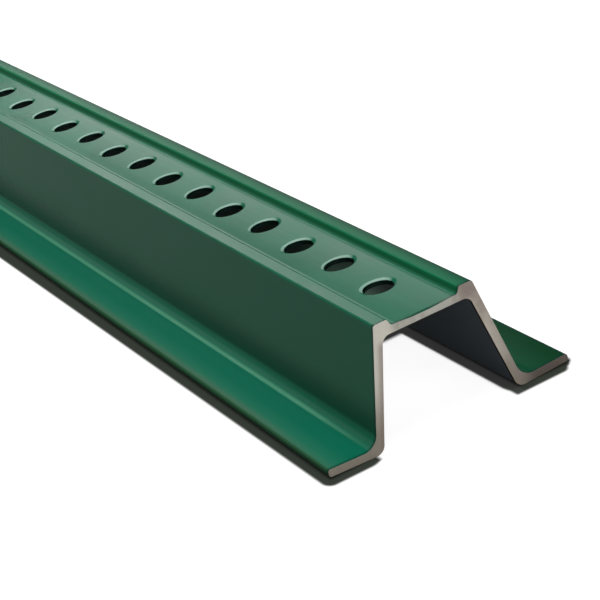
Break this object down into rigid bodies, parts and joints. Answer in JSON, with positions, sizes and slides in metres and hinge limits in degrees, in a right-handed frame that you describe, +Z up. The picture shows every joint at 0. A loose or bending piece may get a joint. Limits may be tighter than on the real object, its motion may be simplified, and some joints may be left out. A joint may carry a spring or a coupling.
{
  "type": "u-channel post",
  "caption": "Rib-backed hat-section steel post with outward flanges and a row of punched holes along its web, for bolting up signs, fence or brackets.",
  "frame": {"origin": "on the floor, under the middle of the post's length and width", "axes": "+X along the post toward the end shown in the picture, +Y across the web, +Z up from the heels to the ribs"},
  "size_m": [1.8288, 0.0812, 0.0374],
  "materials": {
    "post": "satin green baked enamel, bare steel on the sheared ends"
  },
  "bodies": {
    "root": {"post": "post"}
  },
  "joints": []
}
